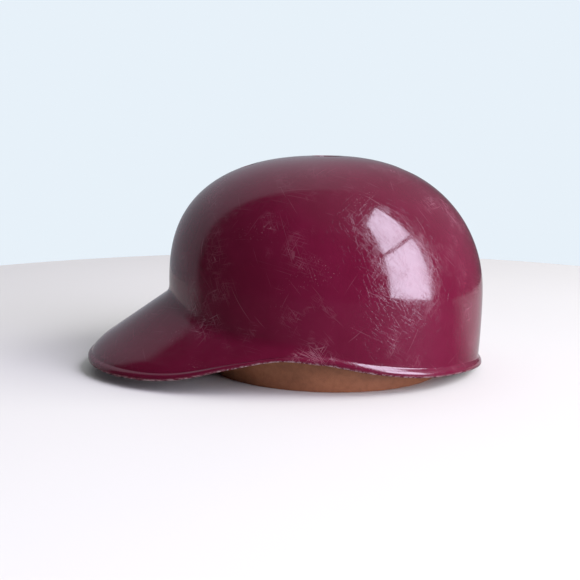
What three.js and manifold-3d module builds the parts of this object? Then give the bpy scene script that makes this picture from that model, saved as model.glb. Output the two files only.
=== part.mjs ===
// Batting helmet without ear flaps: a moulded plastic shell with a drooping brim, a rolled edge and
// three vents, over a foam-padded lining and a deep leather sweatband.
// Millimetres, +Z up. The brim points along -X, the wearer's left side is -Y.
// The helmet stands on the sweatband's lower edge at z = 0; x = 0 is halfway from brim tip to nape.
import * as THREE from "three";
import Module from "manifold-3d";
import { mergeVertices } from "three/addons/utils/BufferGeometryUtils.js";

const wasm = await Module();
wasm.setup();

// ---- Driving dimensions -------------------------------------------------------------------------
// Crown: an egg-shaped oval, half lengths to the front and rear, half width, wider behind.
const CROWN_FRONT = 113;
const CROWN_REAR = 116.5;
const CROWN_HALF_WIDTH = 95.5;
const EGG = 0.06; // share by which the oval widens towards the rear
const CROWN_TOP = 154.7; // height of the outer apex
const WAIST = 56; // height of the widest oval; the dome starts here
const DOME_BULGE = 2.36; // superellipse power across the dome
const DOME_POWER_FRONT = 2.76; // superellipse power upwards, at the forehead
const DOME_POWER_REAR = 2.04; // and at the back, which slopes sooner
const WALL_TAPER = 0.022; // share by which the wall draws in from the waist to z = 0
const WALL = 3; // plastic thickness

// Edge of the shell: brim in front, rolled bead all the way round.
const BRIM_REACH = 173; // crown centre to the brim's tip
const EDGE_FLARE = 0.3; // how far the edge stands out from the wall at the sides and rear
const BRIM_POWER = 2.3; // superellipse power of the brim's plan
const TURN_DOWN = 0.17; // share of the brim's drop taken by its turned-down lip
const LIP_START = 0.22; // share of the brim, from its tip, over which the lip turns down
const LIP_INSET = 0.03; // how far in the lip's corner lies, as a share of the brim
const FILLET = 5; // blend between the wall and the brim
const FILLET_LIMIT = 0.3; // the blend's longest share of the brim
const BEAD_WIDTH = 6.5;
const BEAD_HEIGHT = 1.1;

// Vents, in a row along the middle of the crown.
const VENT_ROW_SHIFT = 2.8; // the middle vent's place behind the crown centre
const VENT_SPACING = 56.4;
const CROWN_VENT_DIAMETER = 22;
const END_VENT_DIAMETER = 13.5;
const VENT_CUTTER_LENGTH = 30;
const VENT_SEGMENTS = 32;

// Lining, each layer counted inwards from the outside of the crown.
const GAP = 0.35;
const BAND_TOP = 74; // top edge of the leather
const PAD_BOTTOM = 32;
const PAD_TOP = 68;
const PAD_CLEARANCE = 1; // between the shell and the foam, more than GAP where the dome curls in
const PAD_DEPTH = 8.2;
const HEADBAND_THICKNESS = 1;
const HEADBAND_BOTTOM = 36;
const HEADBAND_TOP = 69;
const LEATHER_THICKNESS = 1.8;
const LEATHER_CURL_START = 36; // below this height the leather leans inwards
const LEAN_POWER = 1.3;
const FOOT_HALF_LENGTH = 85.5; // the leather's lower edge, measured outside
const FOOT_HALF_WIDTH = 77.5;
const FOOT_SHIFT = 2.6;

// Foam blocks round the wall in degrees from the front; the gap at the nape leaves room for the splice.
const FRONT_PAD = [-30, 30];
const SIDE_PADS = { temple_pad: [36, 80], side_pad: [86, 128], rear_pad: [134, 168] };
const PAD_SEGMENT = 6; // degrees

// The headband is one strip whose ends butt at the nape under a riveted splice.
const HEADBAND_BUTT = 0.35; // half the gap between the headband's ends, in degrees
const SPLICE_HALF_ANGLE = 7;
const SPLICE_THICKNESS = 0.8;
const SPLICE_MARGIN = 4;
const SPLICE_SEGMENTS = 8;
const RIVET_ANGLE = 4;
const RIVET_RADIUS = 1.4;
const RIVET_HEAD_RADIUS = 3;
const RIVET_HEAD_HEIGHT = 0.9;
const RIVET_HEAD_CURVE = [[1, 0], [0.9, 0.5], [0.5, 0.9], [0, 1]]; // shares of the radius and height
const RIVET_SEGMENTS = 16;
const RIVET_HOLE_LENGTH = 12; // long enough to pass through both layers
const RIVET_HEIGHTS = { lower: 45, upper: 60 };
const RIVET_SIDES = { left: 180 - RIVET_ANGLE, right: 180 + RIVET_ANGLE };

// The leather is one strip too; a tab covers its butt seam at the nape, on the head's side.
const SEAM_HALF_ANGLE = 0.25;
const TAB_HALF_ANGLE = 4.5;
const TAB_THICKNESS = 1;
const TAB_BOTTOM = 10;
const TAB_SEGMENTS = 6;
const TAB_CLEARANCE = 2; // between the tab's top and the tape
const BINDING_DROP = 6; // how far the tape reaches down each face of the leather
const BINDING_THICKNESS = 0.6;
const LABEL_ANGLES = [150, 166];
const LABEL_BOTTOM = 40;
const LABEL_TOP = 58;
const LABEL_THICKNESS = 0.5;

// Crown pad: an oval foam ring under the dome, clear of the end vents and open at the crown vent.
const CROWN_PAD_HALF_LENGTH = 45;
const CROWN_PAD_HALF_WIDTH = 56;
const CROWN_PAD_HOLE_RADIUS = 14;
const CROWN_PAD_CLEARANCE = 0.6;
const CROWN_PAD_DEPTH = 9;
const CROWN_PAD_SEGMENTS = 40;
const LINING_THICKNESS = 1;
const LINING_INSET = 1; // how far the cloth stops short of the pad's rim

const PAD_OUTER = WALL + PAD_CLEARANCE;
const HEADBAND_OUTER = PAD_OUTER + PAD_DEPTH + GAP;
const LEATHER_OUTER = HEADBAND_OUTER + HEADBAND_THICKNESS + GAP;
const LEATHER_INNER = LEATHER_OUTER + LEATHER_THICKNESS;
const SPLICE_OUTER = HEADBAND_OUTER - GAP - SPLICE_THICKNESS;
const TAB_TOP = BAND_TOP - BINDING_DROP - TAB_CLEARANCE;

const CENTRE_X = (BRIM_REACH - CROWN_REAR - EDGE_FLARE) / 2; // puts x = 0 at mid length
const AROUND = 72; // segments round every ring
const DEGREE = Math.PI / 180;
const STEP = 0.005; // radians, or a share of the plan, between neighbouring points that give a normal
const MERGE_DISTANCE = 1e-4;

// Edge height by angle from the front: level round the brim, up at the temple, down to the nape.
const EDGE_HEIGHT = [
  [0, 9.5], [20, 7.5], [45, 7], [58, 10], [72, 19.5], [82, 25.3],
  [90, 22.8], [107, 16], [125, 11], [145, 8.5], [180, 4],
];
// How far above the edge the wall begins to flare: the crease where the brim meets the crown.
const CREASE_RISE = [[0, 47.5], [15, 48], [30, 42], [55, 29.5], [70, 18], [82, 8.5], [95, 7], [180, 6.5]];

// ---- Curves -------------------------------------------------------------------------------------
// A smooth curve through [degrees, value] pairs, mirrored at the front (0) and the rear (180).
function throughPoints(points, phi) {
  const angle = Math.abs(Math.atan2(Math.sin(phi), Math.cos(phi))) / DEGREE;
  const all = [[-points[1][0], points[1][1]], ...points, [360 - points.at(-2)[0], points.at(-2)[1]]];
  let i = 1;
  while (i < all.length - 3 && angle > all[i + 1][0]) i++;
  const [p0, p1, p2, p3] = all.slice(i - 1, i + 3);
  const span = p2[0] - p1[0];
  const t = (angle - p1[0]) / span;
  const slope1 = ((p2[1] - p0[1]) / (p2[0] - p0[0])) * span;
  const slope2 = ((p3[1] - p1[1]) / (p3[0] - p1[0])) * span;
  const t2 = t * t;
  const t3 = t2 * t;
  return (
    (2 * t3 - 3 * t2 + 1) * p1[1] + (t3 - 2 * t2 + t) * slope1 +
    (3 * t2 - 2 * t3) * p2[1] + (t3 - t2) * slope2
  );
}

// A point of the crown's plan oval. phi is 0 at the front and turns towards the wearer's left.
function ovalPoint(phi, scale) {
  const c = Math.cos(phi);
  const reach = c > 0 ? CROWN_FRONT : CROWN_REAR;
  return new THREE.Vector2(
    CENTRE_X - reach * c * scale,
    -CROWN_HALF_WIDTH * Math.sin(phi) * (1 - EGG * c) * scale,
  );
}

// The same oval moved inwards by inset, square to itself.
function insetOval(phi, scale, inset) {
  const p = ovalPoint(phi, scale);
  const along = ovalPoint(phi + STEP, scale).sub(ovalPoint(phi - STEP, scale)).normalize();
  return new THREE.Vector2(p.x - along.y * inset, p.y + along.x * inset);
}

const domePower = (phi) => THREE.MathUtils.lerp(DOME_POWER_REAR, DOME_POWER_FRONT, (1 + Math.cos(phi)) / 2);

// The crown's plan scale at a height, on the wall and on the lower dome.
function scaleAt(phi, z) {
  if (z <= WAIST) return 1 - WALL_TAPER * ((WAIST - z) / WAIST) ** 2;
  const up = (z - WAIST) / (CROWN_TOP - WAIST);
  return (1 - up ** domePower(phi)) ** (1 / DOME_BULGE);
}

// Outside of the dome at a plan scale from 0 (apex) to 1 (waist).
function domePoint(phi, scale) {
  const p = ovalPoint(phi, scale);
  const up = Math.max(0, 1 - scale ** DOME_BULGE) ** (1 / domePower(phi));
  return new THREE.Vector3(p.x, p.y, WAIST + (CROWN_TOP - WAIST) * up);
}

// Outer edge of the shell: the brim's superellipse in front, the flared oval behind.
function edgePoint(phi) {
  const c = Math.cos(phi);
  const s = Math.sin(phi);
  const z = throughPoints(EDGE_HEIGHT, phi);
  const width = CROWN_HALF_WIDTH + EDGE_FLARE;
  if (c <= 0) {
    const rear = CROWN_REAR + EDGE_FLARE;
    return new THREE.Vector3(CENTRE_X - rear * c, -width * s * (1 - EGG * c), z);
  }
  const power = 2 / BRIM_POWER;
  return new THREE.Vector3(
    CENTRE_X - BRIM_REACH * c ** power,
    -width * Math.sign(s) * Math.abs(s) ** power,
    z,
  );
}

// ---- Shell --------------------------------------------------------------------------------------
const DOME_SCALES = [0.1, 0.22, 0.34, 0.46, 0.58, 0.69, 0.79, 0.87, 0.93, 0.97, 0.993];
const WALL_SHARES = [0, 0.35, 0.7, 1];
const FILLET_POINTS = 6;
const LIP_POINTS = 8;
const FLARE_SHARES = [0.06, 0.13, 0.22, 0.4, 0.6, 0.8, 0.92];
// Rows across the bead: distance in from the edge, share of the bead's height.
const BEAD_ROWS = [[BEAD_WIDTH, 0], [5.2, 0.45], [3.8, 1], [2, 0.9], [0, 0.25]];

// The flare of one meridian as points from the wall to the edge: fillet, slope and turned-down lip.
function flare(phi) {
  const crease = throughPoints(EDGE_HEIGHT, phi) + throughPoints(CREASE_RISE, phi);
  const foot = ovalPoint(phi, scaleAt(phi, crease));
  const corner = new THREE.Vector3(foot.x, foot.y, crease);
  const edge = edgePoint(phi);
  const lip = edge.clone().lerp(corner, LIP_INSET);
  lip.z = edge.z + TURN_DOWN * (crease - edge.z);
  const blend = Math.min(FILLET, FILLET_LIMIT * corner.distanceTo(lip));
  const start = corner.clone().setZ(crease + blend);
  const wall = ovalPoint(phi, scaleAt(phi, start.z));
  start.set(wall.x, wall.y, start.z);
  const slopeStart = corner.clone().lerp(lip, blend / corner.distanceTo(lip));
  const slopeEnd = lip.clone().lerp(corner, LIP_START);
  return [
    ...new THREE.QuadraticBezierCurve3(start, corner, slopeStart).getPoints(FILLET_POINTS),
    ...new THREE.QuadraticBezierCurve3(slopeEnd, lip, edge).getPoints(LIP_POINTS),
  ];
}

// A point on a polyline, a distance along it from its first point.
function pointAlong(line, distance) {
  let left = distance;
  for (let i = 1; i < line.length; i++) {
    const length = line[i].distanceTo(line[i - 1]);
    if (left <= length || i === line.length - 1) return line[i - 1].clone().lerp(line[i], left / length);
    left -= length;
  }
}

// One meridian of the outer surface without its bead, from just below the apex to the edge.
function meridian(phi) {
  const line = flare(phi);
  const length = line.slice(1).reduce((sum, p, i) => sum + p.distanceTo(line[i]), 0);
  const wallTop = domePoint(phi, DOME_SCALES.at(-1)).z;
  const rows = DOME_SCALES.map((scale) => domePoint(phi, scale));
  for (const share of WALL_SHARES.slice(1)) {
    const z = THREE.MathUtils.lerp(wallTop, line[0].z, share);
    const p = ovalPoint(phi, scaleAt(phi, z));
    rows.push(new THREE.Vector3(p.x, p.y, z));
  }
  for (const share of FLARE_SHARES) rows.push(pointAlong(line, (length - BEAD_WIDTH) * share));
  for (const [inFromEdge] of BEAD_ROWS) rows.push(pointAlong(line, length - inFromEdge));
  return rows;
}

// Outward normals of a meridian's points, from its neighbours.
function normals(phi, rows) {
  const left = meridian(phi + STEP);
  const right = meridian(phi - STEP);
  return rows.map((p, i) => {
    const down = (rows[i + 1] ?? p).clone().sub(i > 0 ? rows[i - 1] : p);
    return left[i].clone().sub(right[i]).cross(down).normalize().negate();
  });
}

// A closed body from loops of equal length. Loops join one to the next; ends close to a point or a fan.
function loft(loops, { closeEnds = true, wrap = false, startTip, endTip } = {}) {
  const size = loops[0].length;
  const points = loops.flat();
  const faces = [];
  const quad = (a, b, c, d) => faces.push(a, b, c, a, c, d);
  const bands = wrap ? loops.length : loops.length - 1;
  for (let i = 0; i < bands; i++) {
    for (let j = 0; j < size; j++) {
      const next = ((i + 1) % loops.length) * size;
      const j2 = (j + 1) % size;
      quad(i * size + j, i * size + j2, next + j2, next + j);
    }
  }
  if (closeEnds && !wrap) {
    const last = (loops.length - 1) * size;
    const cap = (start, tip, turn) => {
      const hub = tip ? points.push(tip) - 1 : start;
      for (let j = tip ? 0 : 1; j < (tip ? size : size - 1); j++) {
        const pair = [start + j, start + ((j + 1) % size)];
        faces.push(hub, ...(turn ? pair.reverse() : pair));
      }
    };
    cap(0, startTip, true);
    cap(last, endTip, false);
  }
  const geometry = new THREE.BufferGeometry();
  geometry.setAttribute("position", new THREE.Float32BufferAttribute(points.flatMap((p) => [...p]), 3));
  geometry.setIndex(faces);
  return facingOut(geometry);
}

// Turns every face round if the body's signed volume is negative.
function facingOut(geometry) {
  const at = geometry.getAttribute("position");
  const index = [...geometry.index.array];
  const [a, b, c] = [new THREE.Vector3(), new THREE.Vector3(), new THREE.Vector3()];
  let volume = 0;
  for (let i = 0; i < index.length; i += 3) {
    a.fromBufferAttribute(at, index[i]);
    b.fromBufferAttribute(at, index[i + 1]);
    c.fromBufferAttribute(at, index[i + 2]);
    volume += a.dot(b.cross(c));
  }
  if (volume < 0) {
    for (let i = 0; i < index.length; i += 3) [index[i + 1], index[i + 2]] = [index[i + 2], index[i + 1]];
    geometry.setIndex(index);
  }
  return geometry;
}

const turns = (count) => Array.from({ length: count }, (_, i) => (i / count) * 2 * Math.PI);

function toSolid(geometry) {
  const bare = geometry.clone();
  bare.deleteAttribute("normal");
  bare.deleteAttribute("uv");
  const merged = mergeVertices(bare, MERGE_DISTANCE);
  return new wasm.Manifold(
    new wasm.Mesh({
      numProp: 3,
      vertProperties: new Float32Array(merged.getAttribute("position").array),
      triVerts: new Uint32Array(merged.index.array),
    }),
  );
}

function toGeometry(solid) {
  const mesh = solid.getMesh();
  const geometry = new THREE.BufferGeometry();
  geometry.setAttribute("position", new THREE.BufferAttribute(new Float32Array(mesh.vertProperties), 3));
  geometry.setIndex(new THREE.BufferAttribute(new Uint32Array(mesh.triVerts), 1));
  return geometry;
}

// A cylinder centred on a point, along a direction.
function rodAt(point, direction, radius, length, sides) {
  const geometry = new THREE.CylinderGeometry(radius, radius, length, sides);
  geometry.applyQuaternion(
    new THREE.Quaternion().setFromUnitVectors(new THREE.Vector3(0, 1, 0), direction.clone().normalize()),
  );
  return geometry.translate(point.x, point.y, point.z);
}

// A point below the outside of the dome, and the dome's outward normal there.
function underDome(phi, scale, depth) {
  const p = domePoint(phi, scale);
  const round = domePoint(phi + STEP, scale).sub(domePoint(phi - STEP, scale));
  const down = domePoint(phi, scale + STEP).sub(domePoint(phi, Math.max(scale - STEP, STEP)));
  const normal = round.cross(down).normalize();
  if (normal.z < 0) normal.negate();
  return { point: p.addScaledVector(normal, -depth), normal };
}

// The plan scale on the dome of a point at a distance from the crown centre.
const scaleAtRadius = (phi, radius) =>
  radius / ovalPoint(phi, 1).sub(new THREE.Vector2(CENTRE_X, 0)).length();

const VENTS = [
  { shift: VENT_ROW_SHIFT - VENT_SPACING, diameter: END_VENT_DIAMETER },
  { shift: VENT_ROW_SHIFT, diameter: CROWN_VENT_DIAMETER },
  { shift: VENT_ROW_SHIFT + VENT_SPACING, diameter: END_VENT_DIAMETER },
];

function shellGeometry() {
  const outer = [];
  const inner = [];
  for (const phi of turns(AROUND)) {
    const rows = meridian(phi);
    const out = normals(phi, rows);
    const beadStart = rows.length - BEAD_ROWS.length;
    outer.push(rows.map((p, i) => {
      const rise = i < beadStart ? 0 : BEAD_ROWS[i - beadStart][1] * BEAD_HEIGHT;
      return p.clone().addScaledVector(out[i], rise);
    }));
    inner.push(rows.map((p, i) => p.clone().addScaledVector(out[i], -WALL)));
  }
  const ring = (columns, row) => columns.map((column) => column[row]);
  const count = outer[0].length;
  const outerRings = Array.from({ length: count }, (_, i) => ring(outer, i));
  // The inside has no bead, so it skips the bead's rows.
  const keep = (i) => i < count - BEAD_ROWS.length || i === count - 1;
  const innerRings = outerRings.map((_, i) => ring(inner, i)).filter((_, i) => keep(i)).reverse();
  const apex = new THREE.Vector3(CENTRE_X, 0, CROWN_TOP);
  let solid = toSolid(loft([...outerRings, ...innerRings], {
    startTip: apex,
    endTip: apex.clone().setZ(CROWN_TOP - WALL),
  }));
  for (const { shift, diameter } of VENTS) {
    const phi = shift < 0 ? 0 : Math.PI;
    const { point, normal } = underDome(phi, scaleAtRadius(phi, Math.abs(shift)), WALL / 2);
    solid = solid.subtract(toSolid(rodAt(point, normal, diameter / 2, VENT_CUTTER_LENGTH, VENT_SEGMENTS)));
  }
  return toGeometry(solid);
}

// ---- Lining -------------------------------------------------------------------------------------
// A band round the head: its section is a loop of [height, inset] corners.
function bandGeometry(section, from = 0, to = 360, segments = AROUND, place = wallPlace) {
  const whole = to - from === 360;
  const angles = Array.from({ length: whole ? segments : segments + 1 }, (_, i) =>
    (from + ((to - from) * i) / segments) * DEGREE);
  return loft(angles.map((phi) => section.map(([z, inset]) => place(phi, z, inset))), { wrap: whole });
}

// Upright layers keep the waist oval; foam that touches the shell follows its wall.
function uprightPlace(phi, z, inset) {
  const p = insetOval(phi, 1, inset);
  return new THREE.Vector3(p.x, p.y, z);
}

function wallPlace(phi, z, inset) {
  const onWall = inset <= PAD_OUTER;
  const p = insetOval(phi, onWall ? scaleAt(phi, z) : 1, inset);
  return new THREE.Vector3(p.x, p.y, z);
}

// The leather stands upright behind the headband, then leans in to its smaller foot.
function leatherPlace(phi, z, inset) {
  const upright = uprightPlace(phi, z, inset);
  if (z >= LEATHER_CURL_START) return upright;
  const thickness = inset - LEATHER_OUTER;
  const foot = new THREE.Vector3(
    CENTRE_X + FOOT_SHIFT - (FOOT_HALF_LENGTH - thickness) * Math.cos(phi),
    -(FOOT_HALF_WIDTH - thickness) * Math.sin(phi) * (1 - EGG * Math.cos(phi)),
    z,
  );
  const lean = (1 - z / LEATHER_CURL_START) ** LEAN_POWER;
  return upright.lerp(foot, lean);
}

const bandSection = (bottom, top, outer, inner, rows) => [
  ...rows.map((t) => [THREE.MathUtils.lerp(bottom, top, t), outer]),
  ...rows.toReversed().map((t) => [THREE.MathUtils.lerp(bottom, top, t), inner]),
];

// Rows up each band, as shares of its height or width.
const PLAIN_ROWS = [0, 1];
const PAD_ROWS = [0, 0.5, 0.8, 1];
const LEATHER_ROWS = [0, 0.12, 0.24, 0.36, LEATHER_CURL_START / BAND_TOP, 1];
const TAB_ROWS = [0, 0.25, 0.45, 0.7, 1];
const CROWN_PAD_ROWS = [0, 0.4, 0.75, 1];

const padGeometry = (from, to) =>
  bandGeometry(
    bandSection(PAD_BOTTOM, PAD_TOP, PAD_OUTER, PAD_OUTER + PAD_DEPTH, PAD_ROWS),
    from, to, Math.ceil((to - from) / PAD_SEGMENT),
  );

// The place of a rivet on the splice's outer face, and the way its head faces.
function rivetSeat(side, level) {
  const phi = RIVET_SIDES[side] * DEGREE;
  const seat = uprightPlace(phi, RIVET_HEIGHTS[level], SPLICE_OUTER);
  const inside = uprightPlace(phi, RIVET_HEIGHTS[level], SPLICE_OUTER + 1);
  return { seat, out: seat.clone().sub(inside).normalize() };
}

const RIVETS = Object.keys(RIVET_SIDES).flatMap((side) =>
  Object.keys(RIVET_HEIGHTS).map((level) => (
    { name: `splice_rivet_${side}_${level}`, ...rivetSeat(side, level) }
  )));

function drilled(geometry) {
  let solid = toSolid(geometry);
  for (const { seat, out } of RIVETS) {
    solid = solid.subtract(toSolid(rodAt(seat, out, RIVET_RADIUS + GAP, RIVET_HOLE_LENGTH, RIVET_SEGMENTS)));
  }
  return toGeometry(solid);
}

// A domed head on the splice and a shank that ends flush with the headband's inside.
function rivetGeometry({ seat, out }) {
  const depth = SPLICE_THICKNESS + GAP + HEADBAND_THICKNESS;
  const head = RIVET_HEAD_CURVE.map(([r, h]) => [RIVET_HEAD_RADIUS * r, GAP + RIVET_HEAD_HEIGHT * h]);
  const shank = [[0, -depth], [RIVET_RADIUS, -depth], [RIVET_RADIUS, GAP]];
  const profile = [...shank, ...head].map(([r, h]) => new THREE.Vector2(r, h));
  const geometry = new THREE.LatheGeometry(profile, RIVET_SEGMENTS);
  geometry.applyQuaternion(new THREE.Quaternion().setFromUnitVectors(new THREE.Vector3(0, 1, 0), out));
  return geometry.translate(seat.x, seat.y, seat.z);
}

// An oval ring under the dome between two depths, with its hole round the crown vent.
function domeRing(top, bottom, grow) {
  const loops = turns(CROWN_PAD_SEGMENTS).map((angle) => {
    const away = new THREE.Vector2(-Math.cos(angle), -Math.sin(angle));
    const rim = new THREE.Vector2(
      away.x * (CROWN_PAD_HALF_LENGTH + grow),
      away.y * (CROWN_PAD_HALF_WIDTH + grow),
    );
    const hole = away.clone().multiplyScalar(CROWN_PAD_HOLE_RADIUS);
    const at = (t, depth) => {
      const p = hole.clone().lerp(rim, t).add(new THREE.Vector2(VENT_ROW_SHIFT, 0));
      const phi = Math.atan2(-p.y / CROWN_HALF_WIDTH, -p.x / (p.x < 0 ? CROWN_FRONT : CROWN_REAR));
      return underDome(phi, scaleAtRadius(phi, p.length()), depth).point;
    };
    const upper = CROWN_PAD_ROWS.map((t) => at(t, top));
    const lower = CROWN_PAD_ROWS.map((t) => at(t, bottom));
    return [...upper, ...lower.reverse()];
  });
  return loft(loops, { wrap: true });
}

// ---- Materials ----------------------------------------------------------------------------------
const material = (color, roughness, metalness = 0) =>
  new THREE.MeshStandardMaterial({ color, roughness, metalness });
const MATERIALS = {
  plastic: material(0x6b1f3d, 0.2),
  foam: material(0xc9b98a, 0.95),
  lining: material(0x2a2624, 0.9),
  fibre: material(0x4b4038, 0.8),
  leather: material(0x8a5530, 0.6),
  tape: material(0x2b211c, 0.85),
  brass: material(0xb08d4a, 0.35, 0.9),
  label: material(0xd8d2c2, 0.85),
};

const helmet = new THREE.Group();
function add(name, geometry, finish) {
  const mesh = new THREE.Mesh(geometry, MATERIALS[finish]);
  mesh.name = name;
  helmet.add(mesh);
}

// ---- Assembly -----------------------------------------------------------------------------------
add("shell", shellGeometry(), "plastic");

const crownPadTop = WALL + CROWN_PAD_CLEARANCE;
const crownPadBottom = crownPadTop + CROWN_PAD_DEPTH;
const liningTop = crownPadBottom + GAP;
add("crown_pad", domeRing(crownPadTop, crownPadBottom, 0), "foam");
add("crown_pad_lining", domeRing(liningTop, liningTop + LINING_THICKNESS, -LINING_INSET), "lining");

add("front_pad", padGeometry(...FRONT_PAD), "foam");
for (const [name, [from, to]] of Object.entries(SIDE_PADS)) {
  add(`left_${name}`, padGeometry(from, to), "foam");
  add(`right_${name}`, padGeometry(-to, -from), "foam");
}

add("headband", drilled(bandGeometry(
  bandSection(
    HEADBAND_BOTTOM, HEADBAND_TOP, HEADBAND_OUTER, HEADBAND_OUTER + HEADBAND_THICKNESS, PLAIN_ROWS,
  ),
  -180 + HEADBAND_BUTT, 180 - HEADBAND_BUTT, AROUND, uprightPlace,
)), "fibre");
add("headband_splice", drilled(bandGeometry(
  bandSection(
    HEADBAND_BOTTOM + SPLICE_MARGIN, HEADBAND_TOP - SPLICE_MARGIN,
    SPLICE_OUTER, SPLICE_OUTER + SPLICE_THICKNESS, PLAIN_ROWS,
  ),
  180 - SPLICE_HALF_ANGLE, 180 + SPLICE_HALF_ANGLE, SPLICE_SEGMENTS, uprightPlace,
)), "fibre");
for (const rivet of RIVETS) add(rivet.name, rivetGeometry(rivet), "brass");

add("sweatband", bandGeometry(
  bandSection(0, BAND_TOP, LEATHER_OUTER, LEATHER_INNER, LEATHER_ROWS),
  -180 + SEAM_HALF_ANGLE, 180 - SEAM_HALF_ANGLE, AROUND, leatherPlace,
), "leather");

add("sweatband_seam_tab", bandGeometry(
  bandSection(
    TAB_BOTTOM, TAB_TOP, LEATHER_INNER + GAP, LEATHER_INNER + GAP + TAB_THICKNESS, TAB_ROWS,
  ),
  180 - TAB_HALF_ANGLE, 180 + TAB_HALF_ANGLE, TAB_SEGMENTS, leatherPlace,
), "leather");

// Cloth tape folded over the leather's top edge, open below as a U.
const tapeOutside = LEATHER_OUTER - GAP - BINDING_THICKNESS;
const tapeInside = LEATHER_INNER + GAP + BINDING_THICKNESS;
const tapeFoot = BAND_TOP - BINDING_DROP;
add("sweatband_top_binding", bandGeometry(
  [
    [HEADBAND_TOP + GAP, tapeOutside], [BAND_TOP + GAP, tapeOutside],
    [BAND_TOP + GAP + BINDING_THICKNESS, tapeOutside + BINDING_THICKNESS],
    [BAND_TOP + GAP + BINDING_THICKNESS, tapeInside - BINDING_THICKNESS],
    [BAND_TOP + GAP, tapeInside], [tapeFoot, tapeInside],
    [tapeFoot, tapeInside - BINDING_THICKNESS], [BAND_TOP + GAP, tapeInside - BINDING_THICKNESS],
    [BAND_TOP + GAP, tapeOutside + BINDING_THICKNESS], [HEADBAND_TOP + GAP, tapeOutside + BINDING_THICKNESS],
  ],
  0, 360, AROUND, uprightPlace,
), "tape");

// A blank size label sewn to the inside of the leather beside the seam tab.
add("size_label", bandGeometry(
  bandSection(
    LABEL_BOTTOM, LABEL_TOP, LEATHER_INNER + GAP, LEATHER_INNER + GAP + LABEL_THICKNESS, PLAIN_ROWS,
  ),
  ...LABEL_ANGLES, TAB_SEGMENTS, leatherPlace,
), "label");

export default helmet;
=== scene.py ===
"""Batting helmet without ear flaps: the looks, over the CAD frame. Metres, +Z up.

The brim points along -X, the wearer's left side is -Y, and the helmet stands at z = 0.
Shapes repeat the CAD's driving dimensions, on a much finer grid.
"""

import math

import bmesh
import bpy
import numpy as np
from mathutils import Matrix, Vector


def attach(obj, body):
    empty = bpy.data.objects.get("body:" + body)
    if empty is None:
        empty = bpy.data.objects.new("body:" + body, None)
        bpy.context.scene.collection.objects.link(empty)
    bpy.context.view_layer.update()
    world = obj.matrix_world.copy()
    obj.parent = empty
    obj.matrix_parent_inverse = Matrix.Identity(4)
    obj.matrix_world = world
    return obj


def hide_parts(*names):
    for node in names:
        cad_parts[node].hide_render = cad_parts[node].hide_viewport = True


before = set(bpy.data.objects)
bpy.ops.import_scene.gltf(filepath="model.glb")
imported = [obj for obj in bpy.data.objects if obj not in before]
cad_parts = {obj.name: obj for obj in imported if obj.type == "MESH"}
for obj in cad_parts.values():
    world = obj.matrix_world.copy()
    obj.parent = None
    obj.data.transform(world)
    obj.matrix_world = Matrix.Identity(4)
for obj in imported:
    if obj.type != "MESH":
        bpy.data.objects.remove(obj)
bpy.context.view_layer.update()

MM = 0.001
TURN = 2 * math.pi

# ---- Driving dimensions, in millimetres, as in the CAD ------------------------------------------
CROWN_FRONT = 113
CROWN_REAR = 116.5
CROWN_HALF_WIDTH = 95.5
EGG = 0.06
CROWN_TOP = 154.7
WAIST = 56
DOME_BULGE = 2.36
DOME_POWER_FRONT = 2.76
DOME_POWER_REAR = 2.04
WALL_TAPER = 0.022
WALL = 3
BRIM_REACH = 173
EDGE_FLARE = 0.3
BRIM_POWER = 2.3
TURN_DOWN = 0.17
LIP_START = 0.22
LIP_INSET = 0.03
FILLET = 5
FILLET_LIMIT = 0.3
BEAD_WIDTH = 7.5  # 1 mm more than in the CAD, for the hollow along the bead's inner side
VENT_ROW_SHIFT = 2.8
VENT_SPACING = 56.4
CROWN_VENT_DIAMETER = 22
END_VENT_DIAMETER = 13.5
EDGE_HEIGHT = [
    (0, 9.5), (20, 7.5), (45, 7), (58, 10), (72, 19.5), (82, 25.3),
    (90, 22.8), (107, 16), (125, 11), (145, 8.5), (180, 4),
]
CREASE_RISE = [(0, 47.5), (15, 48), (30, 42), (55, 29.5), (70, 18), (82, 8.5), (95, 7), (180, 6.5)]

GAP = 0.35
BAND_TOP = 74
PAD_BOTTOM = 32
PAD_TOP = 68
PAD_CLEARANCE = 1
PAD_DEPTH = 8.2
HEADBAND_THICKNESS = 1
HEADBAND_BOTTOM = 36
HEADBAND_TOP = 69
LEATHER_THICKNESS = 1.8
LEATHER_CURL_START = 36
LEAN_POWER = 1.3
FOOT_HALF_LENGTH = 85.5
FOOT_HALF_WIDTH = 77.5
FOOT_SHIFT = 2.6
HEADBAND_BUTT = 0.35
SPLICE_HALF_ANGLE = 7
SPLICE_THICKNESS = 0.8
SPLICE_MARGIN = 4
RIVET_RADIUS = 1.4
RIVET_HEAD_RADIUS = 3
RIVET_HEAD_HEIGHT = 0.9
RIVET_HEAD_RIM = 0.25
RIVET_HEAD_CHAMFER = 0.2
RIVET_ANGLE = 4
RIVET_ANGLES = {"left": 180 - RIVET_ANGLE, "right": 180 + RIVET_ANGLE}
RIVET_HEIGHTS = {"lower": 45, "upper": 60}
SEAM_HALF_ANGLE = 0.25
TAB_HALF_ANGLE = 4.5
TAB_THICKNESS = 1
TAB_BOTTOM = 10
TAB_TOP = BAND_TOP - 8
BINDING_DROP = 6
BINDING_THICKNESS = 0.6
LABEL_START, LABEL_END = 150, 166
LABEL_BOTTOM, LABEL_TOP = 40, 58
LABEL_THICKNESS = 0.5
CROWN_PAD_HALF_LENGTH = 45
CROWN_PAD_HALF_WIDTH = 56
CROWN_PAD_HOLE_RADIUS = 14
CROWN_PAD_DEPTH = 9
CROWN_PAD_TOP = WALL + 0.6
LINING_THICKNESS = 1
LINING_INSET = 1
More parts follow.
